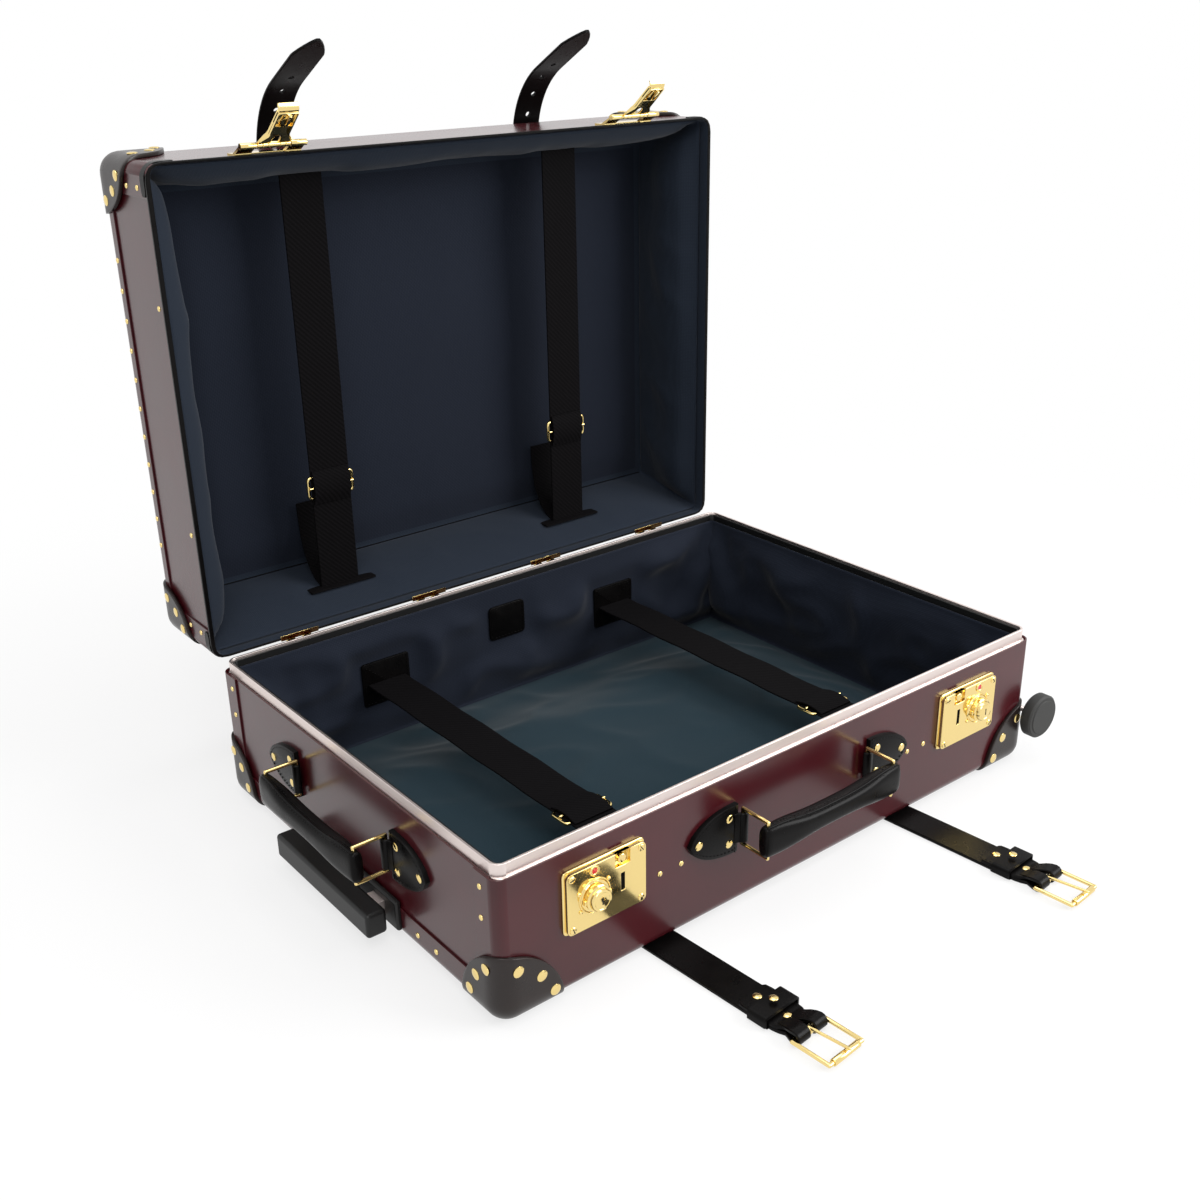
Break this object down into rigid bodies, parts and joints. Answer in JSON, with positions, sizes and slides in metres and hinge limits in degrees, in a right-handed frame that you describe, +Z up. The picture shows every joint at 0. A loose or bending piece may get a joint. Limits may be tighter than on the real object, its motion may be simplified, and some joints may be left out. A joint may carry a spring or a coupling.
{
  "type": "suitcase",
  "caption": "Oxblood fibre board suitcase, open, with leather corners, brass locks, belts, two handles and wheels.",
  "frame": {"origin": "on the floor under the middle of the base tray", "axes": "+Z up, front wall with the locks towards -Y, hinges towards +Y, wheels at the +X end"},
  "size_m": [0.62, 0.6712, 0.6056],
  "materials": {
    "oxblood_fibre": "lacquered vulcanised fibre board, low gloss",
    "aluminium": "brushed extrusion",
    "black_leather": "smooth black leather",
    "brass": "polished pale gold plate",
    "lining_cloth": "dark slate woven lining",
    "webbing": "black woven webbing",
    "black_plastic": "moulded, fine grain",
    "wheel_rubber": "moulded rubber",
    "red_enamel": "enamel dot",
    "steel": "drawn rod"
  },
  "bodies": {
    "base": {"base_tray": "oxblood_fibre", "base_end_panels": "oxblood_fibre", "base_valance": "aluminium", "base_edge_band": "black_plastic", "base_lining": "lining_cloth", "base_corners": "black_leather", "base_rivets": "brass", "hinge_base_leaves": "brass", "lock_case_left": "brass", "lock_case_right": "brass", "lock_indicators": "red_enamel", "handle_anchors": "black_leather", "pull_bezel": "black_plastic", "pull_sleeves": "aluminium", "axle_brackets": "black_plastic", "wheel_axle": "steel", "belt_runs": "black_leather", "base_webbing": "webbing", "lining_patches": "black_leather"},
    "lid": {"lid_shell": "oxblood_fibre", "lid_end_panels": "oxblood_fibre", "lid_binding": "black_plastic", "lid_edge_caps": "black_leather", "lid_lining": "lining_cloth", "lid_corners": "black_leather", "lid_rivets": "brass", "hinge_lid_leaves": "brass", "hasp_leaves": "brass", "lid_belts": "black_leather", "lid_webbing": "webbing"},
    "hasp_left": {"hasp_left": "brass"},
    "hasp_right": {"hasp_right": "brass"},
    "knob_left": {"lock_knob_left": "brass"},
    "knob_right": {"lock_knob_right": "brass"},
    "front_ring_left": {"front_ring_left": "brass"},
    "front_ring_right": {"front_ring_right": "brass"},
    "front_grip": {"front_grip": "black_leather"},
    "side_ring_back": {"side_ring_back": "brass"},
    "side_ring_front": {"side_ring_front": "brass"},
    "side_grip": {"side_grip": "black_leather"},
    "pull": {"pull_bar": "black_plastic", "pull_tubes": "aluminium"},
    "wheel_front": {"wheel_front": "wheel_rubber"},
    "wheel_back": {"wheel_back": "wheel_rubber"},
    "belt_left": {"base_belt_left": "black_leather", "belt_keeper_left": "black_leather", "belt_rivets_left": "brass"},
    "buckle_left": {"buckle_left": "brass"},
    "roller_left": {"buckle_roller_left": "brass"},
    "prong_left": {"prong_left": "brass"},
    "base_slider_left": {"base_slider_left": "brass"},
    "lid_slider_left": {"lid_slider_left": "brass"},
    "belt_right": {"base_belt_right": "black_leather", "belt_keeper_right": "black_leather", "belt_rivets_right": "brass"},
    "buckle_right": {"buckle_right": "brass"},
    "roller_right": {"buckle_roller_right": "brass"},
    "prong_right": {"prong_right": "brass"},
    "base_slider_right": {"base_slider_right": "brass"},
    "lid_slider_right": {"lid_slider_right": "brass"}
  },
  "joints": [
    {"name": "lid", "type": "hinge", "parent": "base", "child": "lid", "pos_m": [0, 0.2065, 0.1115], "axis": [1, 0, 0], "range_deg": [0, 90]},
    {"name": "hasp_left", "type": "hinge", "parent": "lid", "child": "hasp_left", "pos_m": [-0.1785, 0.2048, 0.524], "axis": [1, 0, 0], "range_deg": [-85, 39]},
    {"name": "knob_left", "type": "hinge", "parent": "base", "child": "knob_left", "pos_m": [-0.203, -0.2035, 0.076], "axis": [0, 1, 0], "range_deg": [0, 90]},
    {"name": "hasp_right", "type": "hinge", "parent": "lid", "child": "hasp_right", "pos_m": [0.1785, 0.2048, 0.524], "axis": [1, 0, 0], "range_deg": [-85, 39]},
    {"name": "knob_right", "type": "hinge", "parent": "base", "child": "knob_right", "pos_m": [0.203, -0.2035, 0.076], "axis": [0, 1, 0], "range_deg": [0, 90]},
    {"name": "front_ring_left", "type": "hinge", "parent": "base", "child": "front_ring_left", "pos_m": [-0.0665, -0.203, 0.073], "axis": [0, 0, 1], "range_deg": [-35, 35]},
    {"name": "front_ring_right", "type": "hinge", "parent": "base", "child": "front_ring_right", "pos_m": [0.0665, -0.203, 0.073], "axis": [0, 0, 1], "range_deg": [-35, 35]},
    {"name": "front_grip", "type": "hinge", "parent": "front_ring_left", "child": "front_grip", "pos_m": [-0.0665, -0.2285, 0.073], "axis": [0, 0, 1], "range_deg": [-35, 35]},
    {"name": "side_ring_back", "type": "hinge", "parent": "base", "child": "side_ring_back", "pos_m": [-0.281, 0.0665, 0.073], "axis": [0, 0, 1], "range_deg": [-35, 35]},
    {"name": "side_ring_front", "type": "hinge", "parent": "base", "child": "side_ring_front", "pos_m": [-0.281, -0.0665, 0.073], "axis": [0, 0, 1], "range_deg": [-35, 35]},
    {"name": "side_grip", "type": "hinge", "parent": "side_ring_back", "child": "side_grip", "pos_m": [-0.3065, 0.0665, 0.073], "axis": [0, 0, 1], "range_deg": [-35, 35]},
    {"name": "pull", "type": "slide", "parent": "base", "child": "pull", "axis": [-1, 0, 0], "range_m": [0, 0.38]},
    {"name": "wheel_front", "type": "hinge", "parent": "base", "child": "wheel_front", "pos_m": [0.2854, -0.2095, 0.043], "axis": [0, 1, 0], "continuous": true},
    {"name": "wheel_back", "type": "hinge", "parent": "base", "child": "wheel_back", "pos_m": [0.2854, 0.2095, 0.043], "axis": [0, 1, 0], "continuous": true},
    {"name": "belt_left", "type": "hinge", "parent": "base", "child": "belt_left", "pos_m": [-0.1365, -0.2023, 0.0016], "axis": [-0.9972, -0.075, 0], "range_deg": [0, 36]},
    {"name": "buckle_left", "type": "hinge", "parent": "belt_left", "child": "buckle_left", "pos_m": [-0.12698, -0.32894, 0.00475], "axis": [-0.9972, -0.075, 0], "range_deg": [0, 30]},
    {"name": "prong_left", "type": "hinge", "parent": "buckle_left", "child": "prong_left", "pos_m": [-0.12698, -0.32894, 0.00475], "axis": [-0.9972, -0.075, 0], "range_deg": [0, 30]},
    {"name": "roller_left", "type": "hinge", "parent": "buckle_left", "child": "roller_left", "pos_m": [-0.12473, -0.35886, 0.00475], "axis": [-0.9972, -0.075, 0], "continuous": true},
    {"name": "base_slider_left", "type": "slide", "parent": "base", "child": "base_slider_left", "axis": [0, 1, 0], "range_m": [-0.06, 0.12]},
    {"name": "lid_slider_left", "type": "slide", "parent": "lid", "child": "lid_slider_left", "axis": [0, 0, 1], "range_m": [-0.06, 0.12]},
    {"name": "belt_right", "type": "hinge", "parent": "base", "child": "belt_right", "pos_m": [0.1235, -0.2023, 0.0016], "axis": [-0.9972, -0.075, 0], "range_deg": [0, 36]},
    {"name": "buckle_right", "type": "hinge", "parent": "belt_right", "child": "buckle_right", "pos_m": [0.13302, -0.32894, 0.00475], "axis": [-0.9972, -0.075, 0], "range_deg": [0, 30]},
    {"name": "prong_right", "type": "hinge", "parent": "buckle_right", "child": "prong_right", "pos_m": [0.13302, -0.32894, 0.00475], "axis": [-0.9972, -0.075, 0], "range_deg": [0, 30]},
    {"name": "roller_right", "type": "hinge", "parent": "buckle_right", "child": "roller_right", "pos_m": [0.13527, -0.35886, 0.00475], "axis": [-0.9972, -0.075, 0], "continuous": true},
    {"name": "base_slider_right", "type": "slide", "parent": "base", "child": "base_slider_right", "axis": [0, 1, 0], "range_m": [-0.06, 0.12]},
    {"name": "lid_slider_right", "type": "slide", "parent": "lid", "child": "lid_slider_right", "axis": [0, 0, 1], "range_m": [-0.06, 0.12]}
  ],
  "couplings": [
    {"joint": "front_ring_right", "follows": "front_ring_left", "ratio": 1},
    {"joint": "front_grip", "follows": "front_ring_left", "ratio": -1},
    {"joint": "side_ring_front", "follows": "side_ring_back", "ratio": 1},
    {"joint": "side_grip", "follows": "side_ring_back", "ratio": -1}
  ]
}
